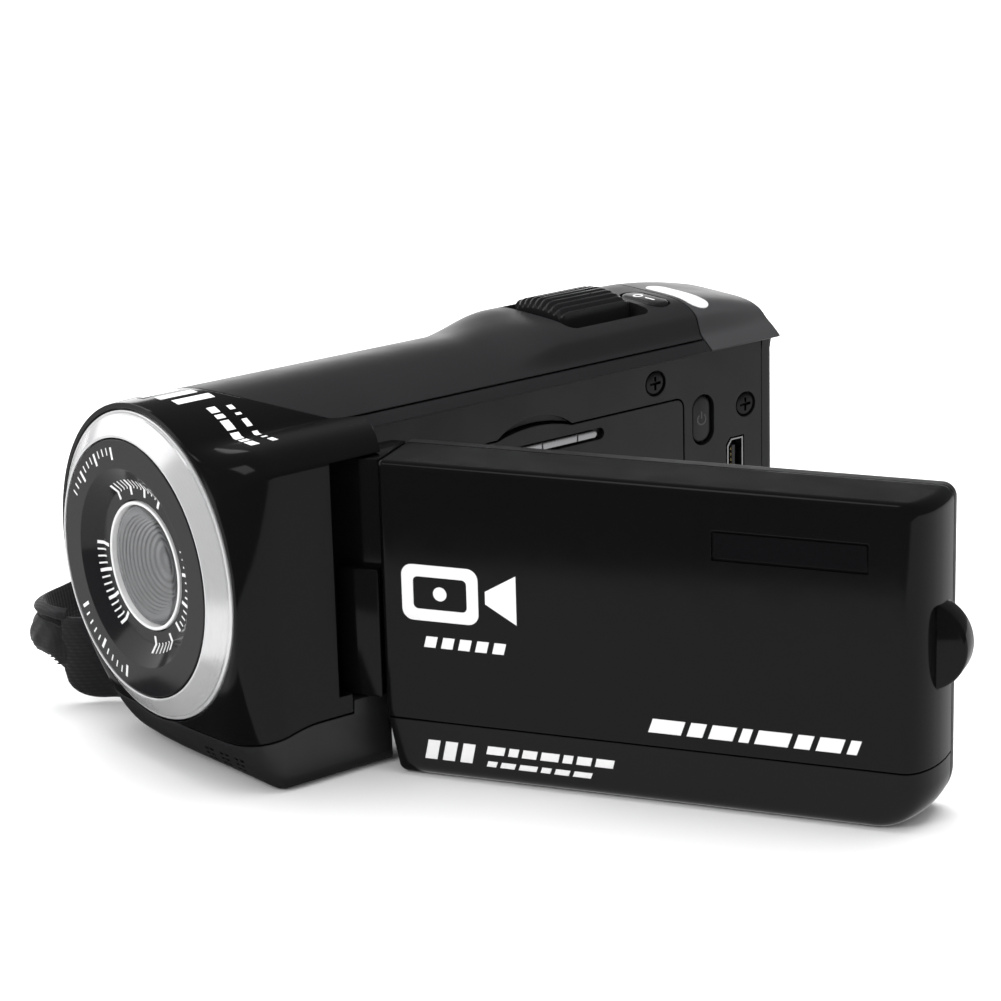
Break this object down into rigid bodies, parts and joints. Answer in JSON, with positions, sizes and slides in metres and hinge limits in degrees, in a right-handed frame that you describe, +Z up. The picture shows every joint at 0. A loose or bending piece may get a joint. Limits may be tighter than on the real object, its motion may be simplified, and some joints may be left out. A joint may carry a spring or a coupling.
{
  "type": "camcorder",
  "caption": "Handheld camcorder with a round lens front, a swing-out tilting screen, a top zoom slide, push buttons, a hinged battery door and a hand strap.",
  "frame": {"origin": "on the plane of the flat base, straight below the lens axis, midway along the body", "axes": "+X to the screen side, +Y to the rear, away from what is filmed, +Z up"},
  "size_m": [0.1354, 0.1101, 0.0549],
  "materials": {
    "gloss_black": "polished",
    "matt_black": "fine matt",
    "panel_band": "satin",
    "silver": "turned, bright",
    "white_trim": "satin",
    "steel": "plain",
    "black_steel": "blackened",
    "brass": "plain",
    "lens_glass": "coated",
    "screen_glass": "glossy",
    "board": "solder mask",
    "battery_can": "wrapped in grey film",
    "black_part": "moulded",
    "red": "clear red",
    "webbing": "woven",
    "pad": "padded, matt"
  },
  "bodies": {
    "body": {"base_cover": "matt_black", "base_screw_1": "black_steel", "base_screw_2": "black_steel", "base_screw_3": "black_steel", "base_screw_4": "black_steel", "battery": "battery_can", "battery_contacts": "black_part", "card_holder": "steel", "control_board": "board", "door_hinge_pin": "steel", "front_housing": "gloss_black", "hinge_pin": "steel", "image_sensor": "black_part", "left_side_cover": "matt_black", "lens_barrel": "matt_black", "lens_bezel_ring": "silver", "lens_face_disc": "gloss_black", "lens_front_glass": "lens_glass", "lens_trim_ring": "white_trim", "main_board": "board", "memory_card": "screen_glass", "microphone": "steel", "rear_cover": "matt_black", "rear_top_cap": "matt_black", "right_side_cover": "matt_black", "sensor_board": "board", "speaker": "black_steel", "status_light": "red", "strap_lug_front": "black_steel", "strap_lug_rear": "black_steel", "strap_pad": "pad", "strap_webbing_front": "webbing", "strap_webbing_rear": "webbing", "top_cover": "matt_black", "tripod_bush": "brass", "usb_socket": "steel", "wall_screw_1": "black_steel", "wall_screw_2": "black_steel"},
    "hinge": {"hinge_block": "gloss_black", "tilt_shaft": "steel"},
    "panel": {"panel_outer_cover": "gloss_black", "panel_lower_trim": "panel_band", "panel_bezel": "matt_black", "lcd_screen": "screen_glass", "lcd_backplate": "steel", "tilt_plate": "steel", "panel_finger_tab": "gloss_black"},
    "zoom_lever": {"zoom_lever": "matt_black"},
    "photo_button": {"photo_button": "matt_black"},
    "power_button": {"power_button": "matt_black"},
    "record_button": {"record_button": "silver"},
    "play_button": {"play_button": "matt_black"},
    "battery_door": {"battery_door": "matt_black"},
    "door_latch": {"door_latch": "silver"}
  },
  "joints": [
    {"name": "panel_swing", "type": "hinge", "parent": "body", "child": "hinge", "pos_m": [0.021, -0.031, 0.02262], "axis": [0, 0, -1], "range_deg": [-58.66, 31.34]},
    {"name": "panel_tilt", "type": "hinge", "parent": "hinge", "child": "panel", "pos_m": [0.01928, -0.02818, 0.02262], "axis": [0.8541, 0.5201, 0], "range_deg": [0, 180]},
    {"name": "zoom_slide", "type": "slide", "parent": "body", "child": "zoom_lever", "axis": [1, 0, 0], "range_m": [-0.0025, 0.0025], "stiffness_N_per_m": 150},
    {"name": "photo_press", "type": "slide", "parent": "body", "child": "photo_button", "axis": [0, 0, -1], "range_m": [0, 0.0008], "stiffness_N_per_m": 400},
    {"name": "power_press", "type": "slide", "parent": "body", "child": "power_button", "axis": [-1, 0, 0], "range_m": [0, 0.0006], "stiffness_N_per_m": 400},
    {"name": "record_press", "type": "slide", "parent": "body", "child": "record_button", "axis": [0, -1, 0], "range_m": [0, 0.001], "stiffness_N_per_m": 400},
    {"name": "play_press", "type": "slide", "parent": "body", "child": "play_button", "axis": [0, -1, 0], "range_m": [0, 0.0008], "stiffness_N_per_m": 400},
    {"name": "door_swing", "type": "hinge", "parent": "body", "child": "battery_door", "pos_m": [0.0103, 0.0086, 0.0035], "axis": [0, 1, 0], "range_deg": [0, 90]},
    {"name": "latch_slide", "type": "slide", "parent": "battery_door", "child": "door_latch", "axis": [0, -1, 0], "range_m": [0, 0.002], "stiffness_N_per_m": 60}
  ]
}
